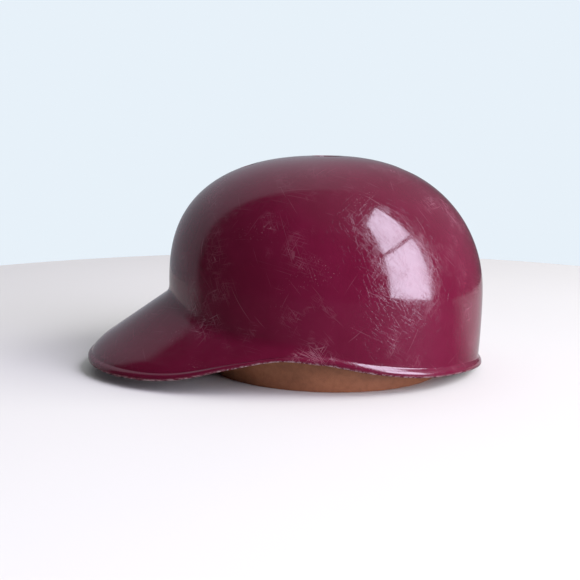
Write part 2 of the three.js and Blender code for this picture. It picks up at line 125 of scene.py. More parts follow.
PADS = {
    "front_pad": (-30, 30),
    "left_temple_pad": (36, 80),
    "left_side_pad": (86, 128),
    "left_rear_pad": (134, 168),
    "right_temple_pad": (-80, -36),
    "right_side_pad": (-128, -86),
    "right_rear_pad": (-168, -134),
}
PAD_OUTER = WALL + PAD_CLEARANCE
HEADBAND_OUTER = PAD_OUTER + PAD_DEPTH + GAP
LEATHER_OUTER = HEADBAND_OUTER + HEADBAND_THICKNESS + GAP
LEATHER_INNER = LEATHER_OUTER + LEATHER_THICKNESS
SPLICE_OUTER = HEADBAND_OUTER - GAP - SPLICE_THICKNESS
TAPE_OUTER = LEATHER_OUTER - GAP - BINDING_THICKNESS
TAPE_INNER = LEATHER_INNER + GAP + BINDING_THICKNESS
CENTRE_X = (BRIM_REACH - CROWN_REAR - EDGE_FLARE) / 2

# ---- Detail that only the visible pieces have ---------------------------------------------------
AROUND = 360  # columns round the shell and the bands
DOME_ROWS = 64
DOME_START = 0.02  # share of the quarter turn at the first row, next to the apex
DOME_END = 0.91  # share of the quarter turn where the dome's rows give way to level ones
WALL_ROWS = 22
FLARE_ROWS = 34
FILLET_POINTS = 14
LIP_POINTS = 18
# The rolled edge in section: (distance in from the edge, rise above the surface).
BEAD_SECTION = [
    (7.5, 0), (6.9, -0.1), (6.5, -0.15), (6.0, 0.0), (5.4, 0.3), (4.7, 0.62), (4.0, 0.86), (3.3, 1.0),
    (2.6, 1.0), (1.9, 0.88), (1.3, 0.66), (0.8, 0.36), (0.4, -0.05), (0.15, -0.55),
]
# The trimmed lower lip, going inwards: the same two measures.
LIP_SECTION = [(0, -1.0), (0, -1.6), (0, -2.2), (0.2, -2.7), (0.7, -2.95)]
INNER_BEAD_ROWS = (3, 7, 10)  # the bead's rows that the smooth inside follows
VENT_FILLET = 1.3  # radius of the vents' rounded edges
VENT_FILLET_POINTS = 7
VENT_SEGMENTS = 96
CUTTER_OVERLAP = 0.03  # how far the cutter's rounding starts above the surface
CUTTER_END = 4  # how far the cutter reaches past the wall
WORN_HEIGHT = 0.04  # metres; the trimmed edge lies below this
WORN_STEPS = 720
WORN_WIDTH = 1.1  # how far from the edge the wear fades
WORN_CORE = 1.6  # full wear within this many widths, less one
WORN_BATCH = 4000  # points compared with the edge at a time
SOFT_MARGIN = 0.7  # how much smaller the foam starts than its CAD solid, so that it can swell
PAD_TRIM = 0.5  # degrees taken off each end of a pad
PAD_CORNER = 1.6
PAD_SECTION_ROWS = 10
PAD_VOXEL = 2.4
CROWN_PAD_VOXEL = 3
CROWN_PAD_CORNER = 2.5
LINING_CORNER = 0.45
SWELL_PRESSURE = 4
SWELL_FRAMES = 20
WAVE_HEIGHT = 0.35  # the leather's waves
WAVE_DEPTH = 0.4
WAVE_TOP = BAND_TOP - 18
STITCH_LENGTH = 2.6
STITCH_PITCH = 3.6
STITCH_RINGS = 7
STITCH_SIDES = 8
THREAD_RADIUS = 0.28
BINDING_STITCH_DROP = 3.5  # the stitches' distance below the leather's top edge
RIVET_SEGMENTS = 48
WELD_DISTANCE = 1e-6  # metres


# ---- Camera, light and floor --------------------------------------------------------------------
CAMERA_PLACE = (0.0038, -0.680, 0.1758)
CAMERA_TILT_DOWN = 9.98  # degrees
SENSOR_WIDTH = 36
LENS = 57.9
FLOOR_RADIUS = 0.62
FLOOR_SEGMENTS = 96
FLOOR_RINGS = 12
ROOM_DARK = (0.045, 0.035, 0.04)
CEILING_PALE = (0.34, 0.31, 0.36)
WALL_PALE = (0.60, 0.64, 0.72)
BACKDROP = (0.80, 0.88, 0.95)
DAYLIGHT = (1, 0.94, 1.18)
WARM_DAYLIGHT = (1, 0.98, 0.96)


def make_camera():
    """Just above the dome, seen from the wearer's left."""
    data = bpy.data.cameras.new("camera")
    data.sensor_width = SENSOR_WIDTH
    data.lens = LENS
    camera = bpy.data.objects.new("camera", data)
    camera.location = CAMERA_PLACE
    camera.rotation_euler = (math.radians(90 - CAMERA_TILT_DOWN), 0, 0)
    bpy.context.scene.collection.objects.link(camera)
    bpy.context.scene.camera = camera


def make_light(name, place, aim, width, height, power, colour=(1, 1, 1), mirrored=True):
    """An area light; one that isn't mirrored leaves no highlight of its own on the gloss."""
    data = bpy.data.lights.new(name, "AREA")
    data.shape = "RECTANGLE"
    data.size = width
    data.size_y = height
    data.energy = power
    data.color = colour
    light = bpy.data.objects.new(name, data)
    light.location = place
    light.rotation_euler = (Vector(aim) - Vector(place)).to_track_quat("-Z", "Y").to_euler()
    light.visible_glossy = mirrored
    bpy.context.scene.collection.objects.link(light)


def make_stage():
    """A plain pale round floor. Its near half shows dark in the gloss, like a room past a table's edge."""
    ring = np.arange(FLOOR_SEGMENTS) / FLOOR_SEGMENTS * TURN
    radii = np.linspace(0.01, FLOOR_RADIUS, FLOOR_RINGS)
    rows = [[(r * math.cos(a), r * math.sin(a), 0) for a in ring] for r in radii]
    floor = grid_object("floor", rows, closed=True)
    cap_with_point(floor, 0, len(ring), (0, 0, 0))
    material, tree, shader = new_material("floor_paint", 0.75)
    where = place(tree)
    mirrored = node(tree, "LightPath").outputs["Is Glossy Ray"]
    near = remap(tree, node(tree, "SeparateXYZ", {0: where}).outputs[1], 0.02, -0.06)
    cloud = mix(tree, noise(tree, where, 3.0), (0.70, 0.71, 0.65), (0.74, 0.75, 0.69))
    shaded = maths(tree, "MULTIPLY", mirrored, remap(tree, near, 0, 1, 0.45, 1))
    tree.links.new(mix(tree, shaded, cloud, (0.035, 0.025, 0.025)), shader.inputs["Base Color"])
    floor.data.materials.append(material)


def light_scene():
    """A dim room with a pale wall behind, a window on the right and soft light from above."""
    world = bpy.data.worlds.new("room")
    world.use_nodes = True
    tree = world.node_tree
    split = node(tree, "SeparateXYZ", {0: node(tree, "TexCoord").outputs["Generated"]})
    behind = remap(tree, split.outputs[1], 0.04, 0.14)
    left = remap(tree, split.outputs[0], 0.4, 0.0, 0.25, 1)
    high = remap(tree, split.outputs[2], 0.0, 0.8, 0.5, 0.75)
    wall = maths(tree, "MULTIPLY", behind, maths(tree, "MULTIPLY", left, high))
    right = maths(tree, "MULTIPLY", split.outputs[0], 0.6)
    up = maths(tree, "MULTIPLY", split.outputs[2], 0.8)
    ceiling = remap(tree, maths(tree, "ADD", right, up), 0.45, 0.95)
    room = mix(tree, ceiling, ROOM_DARK, CEILING_PALE)
    room = mix(tree, wall, room, WALL_PALE)
    seen = node(tree, "LightPath").outputs["Is Camera Ray"]
    background = tree.nodes["Background"]
    tree.links.new(mix(tree, seen, room, BACKDROP), background.inputs["Color"])
    bpy.context.scene.world = world
    bpy.context.scene.view_settings.view_transform = "Standard"
    # The window is in two panes, with a bar between them.
    make_light("window_lower_pane", (2.0, -1.8, 0.64), (1.0, -1.8, 0.64), 1.9, 1.6, 104, DAYLIGHT)
    make_light("window_upper_pane", (2.0, -1.8, 2.9), (1.0, -1.8, 2.9), 1.9, 2.6, 158, DAYLIGHT)
    make_light("ceiling_soft_light", (0, 0.1, 2.4), (0, 0.1, 0), 3.0, 1.6, 9, mirrored=False)
    make_light("window_glow", (2.0, -0.35, 1.3), (0, 0, 0.08), 1.2, 1.2, 40, WARM_DAYLIGHT, mirrored=False)


# ---- Curves -------------------------------------------------------------------------------------
def through_points(points, phi):
    """A smooth curve through (degrees, value) pairs, mirrored at the front and the rear."""
    angle = abs(math.degrees(math.atan2(math.sin(phi), math.cos(phi))))
    after = (360 - points[-2][0], points[-2][1])
    everything = [(-points[1][0], points[1][1]), *points, after]
    i = 1
    while i < len(everything) - 3 and angle > everything[i + 1][0]:
        i += 1
    p0, p1, p2, p3 = everything[i - 1:i + 3]
    span = p2[0] - p1[0]
    t = (angle - p1[0]) / span
    slope1 = (p2[1] - p0[1]) / (p2[0] - p0[0]) * span
    slope2 = (p3[1] - p1[1]) / (p3[0] - p1[0]) * span
    return (
        (2 * t**3 - 3 * t**2 + 1) * p1[1] + (t**3 - 2 * t**2 + t) * slope1
        + (3 * t**2 - 2 * t**3) * p2[1] + (t**3 - t**2) * slope2
    )


def oval_point(phi, scale=1.0):
    """The crown's plan oval. phi is 0 at the front and turns towards the wearer's left."""
    c = math.cos(phi)
    reach = CROWN_FRONT if c > 0 else CROWN_REAR
    y = -CROWN_HALF_WIDTH * math.sin(phi) * (1 - EGG * c) * scale
    return np.array([CENTRE_X - reach * c * scale, y])


def inset_oval(phi, scale, inset):
    """The same oval moved inwards, square to itself."""
    step = 0.01
    along = oval_point(phi + step, scale) - oval_point(phi - step, scale)
    along /= np.linalg.norm(along)
    return oval_point(phi, scale) + inset * np.array([-along[1], along[0]])


def dome_power(phi):
    """The dome's superellipse power, which changes from front to rear."""
    share = (1 + math.cos(phi)) / 2
    return DOME_POWER_REAR + (DOME_POWER_FRONT - DOME_POWER_REAR) * share


def scale_at(phi, z):
    """The crown's plan scale at a height, on the wall and on the lower dome."""
    if z <= WAIST:
        return 1 - WALL_TAPER * ((WAIST - z) / WAIST) ** 2
    up = (z - WAIST) / (CROWN_TOP - WAIST)
    return (1 - up ** dome_power(phi)) ** (1 / DOME_BULGE)


def dome_point(phi, scale):
    """Outside of the dome at a plan scale from 0 (apex) to 1 (waist)."""
    up = max(0.0, 1 - scale**DOME_BULGE) ** (1 / dome_power(phi))
    return np.array([*oval_point(phi, scale), WAIST + (CROWN_TOP - WAIST) * up])


def edge_point(phi):
    """Outer edge of the shell: the brim's superellipse in front, the flared oval behind."""
    c = math.cos(phi)
    s = math.sin(phi)
    z = through_points(EDGE_HEIGHT, phi)
    width = CROWN_HALF_WIDTH + EDGE_FLARE
    if c <= 0:
        return np.array([CENTRE_X - (CROWN_REAR + EDGE_FLARE) * c, -width * s * (1 - EGG * c), z])
    power = 2 / BRIM_POWER
    return np.array([CENTRE_X - BRIM_REACH * c**power, -width * math.copysign(abs(s) ** power, s), z])


def bezier(start, middle, end, count):
    """Points along a quadratic curve."""
    t = np.linspace(0, 1, count)[:, None]
    return (1 - t) ** 2 * start + 2 * t * (1 - t) * middle + t**2 * end


def flare(phi):
    """One meridian from the wall to the edge: fillet, slope and turned-down lip."""
    edge = edge_point(phi)
    crease = edge[2] + through_points(CREASE_RISE, phi)
    corner = np.array([*oval_point(phi, scale_at(phi, crease)), crease])
    lip = edge + LIP_INSET * (corner - edge)
    lip[2] = edge[2] + TURN_DOWN * (crease - edge[2])
    length = np.linalg.norm(corner - lip)
    blend = min(FILLET, FILLET_LIMIT * length)
    start = np.array([*oval_point(phi, scale_at(phi, crease + blend)), crease + blend])
    slope_start = corner + (lip - corner) * blend / length
    slope_end = lip + LIP_START * (corner - lip)
    fillet = bezier(start, corner, slope_start, FILLET_POINTS)
    return np.vstack([fillet, bezier(slope_end, lip, edge, LIP_POINTS)])


def points_along(line, distances):
    """Points on a polyline at distances from its start, and its length."""
    steps = np.linalg.norm(np.diff(line, axis=0), axis=1)
    at = np.concatenate([[0], np.cumsum(steps)])
    return np.stack([np.interp(distances, at, line[:, k]) for k in range(3)], axis=1), at[-1]


# ---- Shell --------------------------------------------------------------------------------------
def meridian(phi):
    """The outer surface without its bead, from just below the apex to the edge."""
    turn = np.linspace(DOME_START, DOME_END, DOME_ROWS) * math.pi / 2
    rows = [dome_point(phi, math.sin(a) ** (2 / DOME_BULGE)) for a in turn]
    line = flare(phi)
    for z in np.linspace(rows[-1][2], line[0][2], WALL_ROWS, endpoint=False)[1:]:
        rows.append(np.array([*oval_point(phi, scale_at(phi, z)), z]))
    total = points_along(line, [0])[1]
    slope = np.linspace(0, total - BEAD_WIDTH, FLARE_ROWS, endpoint=False)
    bead = [total - back for back, _ in BEAD_SECTION]
    lip = [total - back for back, _ in LIP_SECTION]
    return np.vstack([rows, points_along(line, [*slope, *bead, *lip])[0]])


def grid_normals(grid):
    """Outward normals of a closed ring of meridians: grid[column, row] is a point."""
    round_ = np.roll(grid, -1, axis=0) - np.roll(grid, 1, axis=0)
    down = np.gradient(grid, axis=1)
    down[:, -len(LIP_SECTION):] = down[:, [-len(LIP_SECTION) - 1]]
    normals = np.cross(down, round_)
    return normals / np.linalg.norm(normals, axis=2, keepdims=True)


def shell_grid():
    """The outer surface with its bead, and the inner one in reverse, as columns of points."""
    angles = np.arange(AROUND) / AROUND * TURN
    grid = np.array([meridian(phi) for phi in angles])
    normals = grid_normals(grid)
    if normals[0, 0, 2] < 0:
        normals = -normals
    rises = np.zeros(grid.shape[1])
    rises[-len(BEAD_SECTION) - len(LIP_SECTION):] = [rise for _, rise in BEAD_SECTION + LIP_SECTION]
    outer = grid + normals * rises[None, :, None]
    plain = grid.shape[1] - len(BEAD_SECTION) - len(LIP_SECTION)
    inner_rows = [*range(plain), *(plain + row for row in INNER_BEAD_ROWS)]
    inner = (grid - normals * WALL)[:, inner_rows[::-1]]
    return outer, inner


def grid_object(name, rows, closed=False, scale=1.0):
    """A mesh over rows of equal length; closed joins each row's ends."""
    points = [point for row in rows for point in row]
    size = len(rows[0])
    faces = []
    for i in range(len(rows) - 1):
        for j in range(size if closed else size - 1):
            j2 = (j + 1) % size
            faces.append((i * size + j, i * size + j2, (i + 1) * size + j2, (i + 1) * size + j))
    mesh = bpy.data.meshes.new(name)
    mesh.from_pydata([tuple(float(v) * scale for v in p) for p in points], [], faces)
    made = bpy.data.objects.new(name, mesh)
    bpy.context.scene.collection.objects.link(made)
    return made


def tidy_normals(made, angle=35):
    """Faces point outwards and shade smooth, with edges kept sharp past an angle."""
    mesh = bmesh.new()
    mesh.from_mesh(made.data)
    bmesh.ops.recalc_face_normals(mesh, faces=mesh.faces)
    mesh.to_mesh(made.data)
    mesh.free()
    made.data.shade_smooth()
    made.data.set_sharp_from_angle(angle=math.radians(angle))


def cap_with_point(made, first, count, tip):
    """Closes a ring of vertices with a fan to a point."""
    mesh = bmesh.new()
    mesh.from_mesh(made.data)
    hub = mesh.verts.new(tip)
    mesh.verts.ensure_lookup_table()
    for j in range(count):
        mesh.faces.new((mesh.verts[first + j], mesh.verts[first + (j + 1) % count], hub))
    mesh.to_mesh(made.data)
    mesh.free()


def coordinates(made):
    """The mesh's vertices as an array of points."""
    points = np.empty(len(made.data.vertices) * 3)
    made.data.vertices.foreach_get("co", points)
    return points.reshape(-1, 3)


def weld(made):
    """Joins the first and last rows of a closed band."""
    mesh = bmesh.new()
    mesh.from_mesh(made.data)
    bmesh.ops.remove_doubles(mesh, verts=mesh.verts, dist=WELD_DISTANCE)
    mesh.to_mesh(made.data)
    mesh.free()


def cap_ends(made, size):
    """Closes the first and last rows of an open band, each of size points, with a face."""
    mesh = bmesh.new()
    mesh.from_mesh(made.data)
    mesh.verts.ensure_lookup_table()
    mesh.faces.new([mesh.verts[i] for i in range(size)])
    mesh.faces.new([mesh.verts[len(mesh.verts) - size + i] for i in range(size)])
    mesh.to_mesh(made.data)
    mesh.free()


def turned_object(name, profile, sides, low_tip, high_tip, seat, axis):
    """A body turned from a (radius, height) profile, closed to points, standing at seat along axis."""
    ring = np.arange(sides) / sides * TURN
    rows = [[(r * math.cos(a), r * math.sin(a), h) for a in ring] for r, h in profile]
    made = grid_object(name, rows, closed=True, scale=MM)
    cap_with_point(made, 0, sides, (0, 0, low_tip * MM))
    cap_with_point(made, (len(rows) - 1) * sides, sides, (0, 0, high_tip * MM))
    tidy_normals(made)
    turn = Vector(axis).to_track_quat("Z", "Y").to_matrix().to_4x4()
    turn.translation = Vector(seat) * MM
    made.data.transform(turn)
    return made


def apply_modifiers(made):
    """Bakes an object's modifiers into its mesh."""
    graph = bpy.context.evaluated_depsgraph_get()
    mesh = bpy.data.meshes.new_from_object(made.evaluated_get(graph), depsgraph=graph)
    made.modifiers.clear()
    made.data = mesh


def under_dome(phi, scale, depth):
    """A point below the outside of the dome, and the outward normal there."""
    step = 0.005
    around = dome_point(phi + step, scale) - dome_point(phi - step, scale)
    down = dome_point(phi, scale + step) - dome_point(phi, max(scale - step, 1e-3))
    normal = np.cross(around, down)
    normal /= np.linalg.norm(normal)
    if normal[2] < 0:
        normal = -normal
    return dome_point(phi, scale) - depth * normal, normal


def vent_cutter(name, shift, diameter):
    """A spool whose waist is the vent and whose ends flare into rounded edges."""
    phi = 0 if shift < 0 else math.pi
    reach = CROWN_FRONT if shift < 0 else CROWN_REAR
    centre, normal = under_dome(phi, abs(shift) / reach, WALL / 2)
    height = WALL / 2 + CUTTER_OVERLAP
    flared = [
        (diameter / 2 + VENT_FILLET * (1 - math.cos(a)), height - VENT_FILLET * (1 - math.sin(a)))
        for a in np.linspace(0, math.pi / 2, VENT_FILLET_POINTS)
    ]
    half = [*flared, (diameter / 2 + VENT_FILLET, height + CUTTER_END)]
    profile = [(r, -h) for r, h in reversed(half)] + half
    return turned_object(name, profile, VENT_SEGMENTS, profile[0][1], profile[-1][1], centre, normal)


def make_shell():
    """The moulded shell, with its vents cut and its outside and inside in two materials."""
    outer, inner = shell_grid()
    rows = np.concatenate([outer, inner], axis=1).swapaxes(0, 1)
    shell = grid_object("helmet_shell", rows, closed=True, scale=MM)
    last = (len(rows) - 1) * AROUND
    cap_with_point(shell, 0, AROUND, (CENTRE_X * MM, 0, CROWN_TOP * MM))
    cap_with_point(shell, last, AROUND, (CENTRE_X * MM, 0, (CROWN_TOP - WALL) * MM))
    tidy_normals(shell)
    shell.data.materials.append(shell_plastic())
    shell.data.materials.append(shell_inside())
    for polygon in shell.data.polygons:
        polygon.material_index = int(outer.shape[1] <= polygon.index // AROUND < len(rows))
    for side in (-1, 0, 1):
        diameter = END_VENT_DIAMETER if side else CROWN_VENT_DIAMETER
        cutter = vent_cutter("vent_cutter", VENT_ROW_SHIFT + side * VENT_SPACING, diameter)
        cut = shell.modifiers.new("vent", "BOOLEAN")
        cut.object = cutter
        cut.operation = "DIFFERENCE"
        cut.solver = "MANIFOLD"
        apply_modifiers(shell)
        bpy.data.objects.remove(cutter)
    tidy_normals(shell)
    mark_edge_wear(shell)
    finish_piece(shell, "shell_plastic", None, "shell")


def mark_edge_wear(shell):
    """A point attribute, 1 along the trimmed lower lip and 0 elsewhere."""
    rim = np.array([edge_point(i / WORN_STEPS * TURN) for i in range(WORN_STEPS)]) * MM
    wear = shell.data.attributes.new("edge_wear", "FLOAT", "POINT")
    points = coordinates(shell)
    values = np.zeros(len(points))
    low = np.flatnonzero(points[:, 2] < WORN_HEIGHT)
    for start in range(0, len(low), WORN_BATCH):
        some = low[start:start + WORN_BATCH]
        gap = np.linalg.norm(points[some, None] - rim[None], axis=2).min(axis=1)
        values[some] = np.clip(WORN_CORE - gap / (WORN_WIDTH * MM), 0, 1)
    wear.data.foreach_set("value", values)


# ---- Lining shapes ------------------------------------------------------------------------------
def upright_place(phi, z, inset):
    """A place on an upright layer, which keeps the waist's oval."""
    return np.array([*inset_oval(phi, 1, inset), z])


def wall_place(phi, z, inset):
    """Follows the shell's wall on its outer side and stands upright on its inner side."""
    share = np.clip((inset - PAD_OUTER) / PAD_DEPTH, 0, 1)
    on_wall = inset_oval(phi, scale_at(phi, z), inset)
    return np.array([*(on_wall * (1 - share) + inset_oval(phi, 1, inset) * share), z])


def leather_place(phi, z, inset):
    """Upright behind the headband, then leaning in to the smaller foot."""
    upright = upright_place(phi, z, inset)
    if z >= LEATHER_CURL_START:
        return upright
    thickness = inset - LEATHER_OUTER
    foot = np.array([
        CENTRE_X + FOOT_SHIFT - (FOOT_HALF_LENGTH - thickness) * math.cos(phi),
        -(FOOT_HALF_WIDTH - thickness) * math.sin(phi) * (1 - EGG * math.cos(phi)),
        z,
    ])
    lean = (1 - z / LEATHER_CURL_START) ** LEAN_POWER
    return upright * (1 - lean) + foot * lean


def rounded_section(bottom, top, outer, inner, rows, corner):
    """A tall thin section as (height, inset) corners, with its four corners rounded."""
    quarter = np.linspace(0, math.pi / 2, 5)
    curl = [(corner * (1 - math.sin(a)), corner * (1 - math.cos(a))) for a in quarter]
    up = np.linspace(bottom + corner, top - corner, rows + 2)[1:-1]
    return [
        *[(bottom + drop, outer + turn) for drop, turn in reversed(curl)],
        *[(z, outer) for z in up],
        *[(top - drop, outer + turn) for drop, turn in curl],
        *[(top - drop, inner - turn) for drop, turn in reversed(curl)],
        *[(z, inner) for z in reversed(up)],
        *[(bottom + drop, inner - turn) for drop, turn in curl],
    ]


def band(name, section, start, end, place, columns, shape=None):
    """A band round the head with a closed section; its ends are capped unless it goes all round."""
    whole = end - start >= 360
    angles = np.radians(np.linspace(start, end, columns, endpoint=not whole))
    rows = [[place(phi, z, inset) for z, inset in section] for phi in angles]
    if shape:
        rows = [[shape(phi, point) for point in row] for phi, row in zip(angles, rows)]
    if whole:
        rows.append(rows[0])
    made = grid_object(name, rows, closed=True, scale=MM)
    if whole:
        weld(made)
    else:
        cap_ends(made, len(section))
    tidy_normals(made)
    return made


def finish_piece(made, slot, material, *nodes):
    """The piece's material, body and CAD nodes. The slot argument is not used. The shell already has its two
    materials.
    """
    if material:
        made.data.materials.clear()
        made.data.materials.append(material)
    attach(made, "root")
    if nodes:
        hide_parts(*nodes)


# ---- Lining pieces ------------------------------------------------------------------------------
def puff(made, voxel, most):
    """Swells a foam piece as a cloth skin under pressure, never further than most, then smooths it."""
    remesh = made.modifiers.new("skin", "REMESH")
    remesh.mode = "VOXEL"
    remesh.voxel_size = voxel * MM
    apply_modifiers(made)
    rest = coordinates(made)
    cloth = made.modifiers.new("cloth", "CLOTH")
    cloth.settings.use_pressure = True
    cloth.settings.uniform_pressure_force = SWELL_PRESSURE
    cloth.settings.effector_weights.gravity = 0
    cloth.settings.quality = 4
    scene = bpy.context.scene
    for step in range(1, SWELL_FRAMES + 1):
        scene.frame_set(step)
    apply_modifiers(made)
    scene.frame_set(1)
    moved = coordinates(made) - rest
    length = np.linalg.norm(moved, axis=1, keepdims=True)
    capped = rest + moved * np.minimum(1, most * MM / np.maximum(length, 1e-9))
    made.data.vertices.foreach_set("co", capped.ravel())
    smooth = made.modifiers.new("smooth", "CORRECTIVE_SMOOTH")
    smooth.use_only_smooth = True
    smooth.iterations = 3
    finer = made.modifiers.new("finer", "SUBSURF")
    finer.levels = 1
    finer.render_levels = 1
    apply_modifiers(made)
    made.data.shade_smooth()


def make_pads(foam):
    """The foam blocks round the wall."""
    section = rounded_section(
        PAD_BOTTOM + SOFT_MARGIN, PAD_TOP - SOFT_MARGIN,
        PAD_OUTER + SOFT_MARGIN, PAD_OUTER + PAD_DEPTH - SOFT_MARGIN, PAD_SECTION_ROWS, PAD_CORNER,
    )
    for name, (start, end) in PADS.items():
        columns = (end - start) // 2
        pad = band(f"{name}_foam", section, start + PAD_TRIM, end - PAD_TRIM, wall_place, columns)
        puff(pad, PAD_VOXEL, SOFT_MARGIN)
        finish_piece(pad, "foam", foam, name)


def dome_ring(name, top, bottom, grow, corner, columns=180, rows=22):
    """An oval ring under the dome between two depths, open at the crown vent."""
    loops = []
    for angle in np.arange(columns) / columns * TURN:
        away = -np.array([math.cos(angle), math.sin(angle)])
        rim = away * np.array([CROWN_PAD_HALF_LENGTH + grow, CROWN_PAD_HALF_WIDTH + grow])
        hole = away * CROWN_PAD_HOLE_RADIUS
        width = np.linalg.norm(rim - hole)
        loop = []
        for share, depth in rounded_section(0, width, top, bottom, rows, corner):
            x, y = hole + (rim - hole) * share / width + np.array([VENT_ROW_SHIFT, 0])
            reach = CROWN_FRONT if x < 0 else CROWN_REAR
            phi = math.atan2(-y / CROWN_HALF_WIDTH, -x / reach)
            unit = np.linalg.norm(oval_point(phi) - np.array([CENTRE_X, 0]))
            loop.append(under_dome(phi, math.hypot(x, y) / unit, depth)[0])
        loops.append(loop)
    loops.append(loops[0])
    made = grid_object(name, loops, closed=True, scale=MM)
    weld(made)
    tidy_normals(made, 60)
    return made


def make_crown_pad(foam, lining):
    """The foam ring under the dome and the cloth that covers its head side."""
    bottom = CROWN_PAD_TOP + CROWN_PAD_DEPTH
    soft = (CROWN_PAD_TOP + SOFT_MARGIN, bottom - SOFT_MARGIN)
    pad = dome_ring("crown_pad_foam", *soft, -SOFT_MARGIN, CROWN_PAD_CORNER)
    puff(pad, CROWN_PAD_VOXEL, SOFT_MARGIN)
    finish_piece(pad, "foam", foam, "crown_pad")
    cover_top = bottom + GAP
    cover = dome_ring(
        "crown_pad_cover", cover_top, cover_top + LINING_THICKNESS, -LINING_INSET, LINING_CORNER,
    )
    finish_piece(cover, "lining", lining, "crown_pad_lining")


def worn_leather(phi, point):
    """Shallow waves where the leather has eased away from its round, none at its foot."""
    amount = WAVE_HEIGHT * math.sin(min(point[2], WAVE_TOP) / WAVE_TOP * math.pi)
    wave = math.sin(5 * phi + 0.06 * point[2]) + 0.5 * math.sin(11 * phi + 1.3 - 0.05 * point[2])
    away = np.array([point[0] - CENTRE_X, point[1], 0])
    away /= np.linalg.norm(away)
    return point - away * max(0, amount * (1 + wave)) * WAVE_DEPTH


def make_bands():
    """The headband and its splice, then the leather, its seam tab and its label."""
    fibre = fibre_sheet()
    headband = band(
        "headband_strip",
        rounded_section(
            HEADBAND_BOTTOM, HEADBAND_TOP, HEADBAND_OUTER, HEADBAND_OUTER + HEADBAND_THICKNESS, 6, 0.3,
        ),
        -180 + HEADBAND_BUTT, 180 - HEADBAND_BUTT, upright_place, AROUND,
    )
    finish_piece(headband, "fibre", fibre, "headband")
    splice = band(
        "headband_splice_strip",
        rounded_section(
            HEADBAND_BOTTOM + SPLICE_MARGIN, HEADBAND_TOP - SPLICE_MARGIN,
            SPLICE_OUTER, SPLICE_OUTER + SPLICE_THICKNESS, 6, 0.3,
        ),
        180 - SPLICE_HALF_ANGLE, 180 + SPLICE_HALF_ANGLE, upright_place, 24,
    )
    finish_piece(splice, "fibre", fibre, "headband_splice")
    hide = leather()
    sweatband = band(
        "leather_sweatband",
        rounded_section(0, BAND_TOP, LEATHER_OUTER, LEATHER_INNER, 40, 0.5),
        -180 + SEAM_HALF_ANGLE, 180 - SEAM_HALF_ANGLE, leather_place, AROUND, worn_leather,
    )
    finish_piece(sweatband, "leather", hide, "sweatband")
    face = LEATHER_INNER + GAP
    tab = band(
        "seam_tab",
        rounded_section(TAB_BOTTOM, TAB_TOP, face, face + TAB_THICKNESS, 24, 0.4),
        180 - TAB_HALF_ANGLE, 180 + TAB_HALF_ANGLE, leather_place, 20,
    )
    finish_piece(tab, "leather", hide, "sweatband_seam_tab")
    label = band(
        "blank_size_label",
        rounded_section(LABEL_BOTTOM, LABEL_TOP, face, face + LABEL_THICKNESS, 10, 0.2),
        LABEL_START, LABEL_END, leather_place, 24,
    )
    weave = woven("label_weave", (0.66, 0.62, 0.53), (0.5, 0.46, 0.38), 0.5)
    finish_piece(label, "label", weave, "size_label")


def make_binding():
    """Cloth tape folded over the leather's top edge, open below."""
    fold = np.linspace(0, math.pi, 13)
    middle = (TAPE_OUTER + TAPE_INNER) / 2
    half = (TAPE_INNER - TAPE_OUTER) / 2
    rise = BINDING_THICKNESS
    section = [
        (HEADBAND_TOP + GAP, TAPE_OUTER),
        *[(BAND_TOP + GAP + rise * math.sin(a), middle - half * math.cos(a)) for a in fold],
        (BAND_TOP - BINDING_DROP, TAPE_INNER),
        (BAND_TOP - BINDING_DROP, TAPE_INNER - BINDING_THICKNESS),
        (BAND_TOP + GAP, TAPE_INNER - BINDING_THICKNESS),
        (BAND_TOP + GAP, TAPE_OUTER + BINDING_THICKNESS),
        (HEADBAND_TOP + GAP, TAPE_OUTER + BINDING_THICKNESS),
    ]
    tape = band("top_binding_tape", section, 0, 360, upright_place, AROUND)
    weave = woven("tape_weave", (0.045, 0.032, 0.026), (0.02, 0.015, 0.013), 0.8)
    finish_piece(tape, "tape", weave, "sweatband_top_binding")


# ---- Stitches and rivets ------------------------------------------------------------------------
def add_stitch(points, faces, start, end, lift):
    """One stitch: a short round thread that dips into the material at both ends."""
    start, end, lift = (np.asarray(v, dtype=float) for v in (start, end, lift))
    along = (end - start) / np.linalg.norm(end - start)
    side = np.cross(along, lift)
    first = len(points)
    for i in range(STITCH_RINGS):
        t = i / (STITCH_RINGS - 1)
        arch = math.sin(t * math.pi)
        centre = start + (end - start) * t + lift * (arch - 0.6) * THREAD_RADIUS
        radius = THREAD_RADIUS * (0.45 + 0.55 * arch)
        for j in range(STITCH_SIDES):
            a = j / STITCH_SIDES * TURN
            points.append(centre + radius * (math.cos(a) * side + math.sin(a) * lift))
    for i in range(STITCH_RINGS - 1):
        a = first + i * STITCH_SIDES
        b = a + STITCH_SIDES
        for j in range(STITCH_SIDES):
            j2 = (j + 1) % STITCH_SIDES
            faces.append((a + j, a + j2, b + j2, b + j))
    last = first + (STITCH_RINGS - 1) * STITCH_SIDES
    faces.append(tuple(first + j for j in range(STITCH_SIDES))[::-1])
    faces.append(tuple(last + j for j in range(STITCH_SIDES)))


def stitch_run(points, faces, route):
    """Stitches along a route of (phi, z, inset) places, on the head's side of the leather."""
    line = np.array([leather_place(*place) for place in route])
    ahead = np.array([leather_place(phi, z, inset + 0.5) for phi, z, inset in route])
    total = points_along(line, [0])[1]
    for start in np.arange(0.5, total - STITCH_LENGTH, STITCH_PITCH):
        ends, _ = points_along(line, [start, start + STITCH_LENGTH])
        near = np.argmin(np.linalg.norm(line - ends[0], axis=1))
        lift = ahead[near] - line[near]
        add_stitch(points, faces, ends[0], ends[1], lift / np.linalg.norm(lift))


